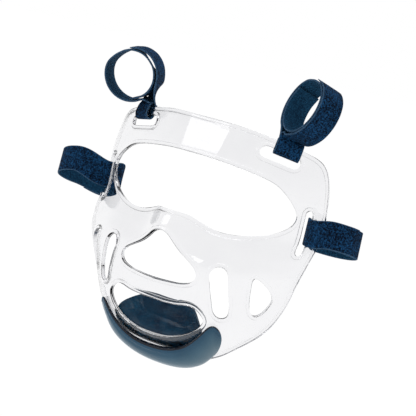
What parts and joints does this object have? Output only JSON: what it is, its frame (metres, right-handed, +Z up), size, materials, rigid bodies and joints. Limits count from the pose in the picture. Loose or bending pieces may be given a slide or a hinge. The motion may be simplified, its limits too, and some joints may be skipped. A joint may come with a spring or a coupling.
{
  "type": "clear face shield for a martial arts headguard",
  "caption": "Clear moulded face shield with a wide eye opening, breathing vents, a padded chin and webbing loops that wrap it to a headguard.",
  "frame": {"origin": "in the hollow of the shield, on its centre plane, level with the lower edge of the eye opening, where the bridge of the wearer's nose comes", "axes": "+Z up the worn face, -Y the way the wearer looks, +X the wearer's left"},
  "size_m": [0.2494, 0.095, 0.2291],
  "materials": {
    "shell": "clear moulded polycarbonate, gloss",
    "bumper": "satin blue-black coated foam skin",
    "pad": "satin near-black coated foam skin",
    "webbing": "woven navy webbing with a napped fastening face"
  },
  "bodies": {
    "root": {"face_shield": "shell", "chin_bumper": "bumper", "chin_pad": "pad", "strap_top_right": "webbing", "strap_top_left": "webbing", "strap_side_right": "webbing", "strap_side_left": "webbing"}
  },
  "joints": []
}
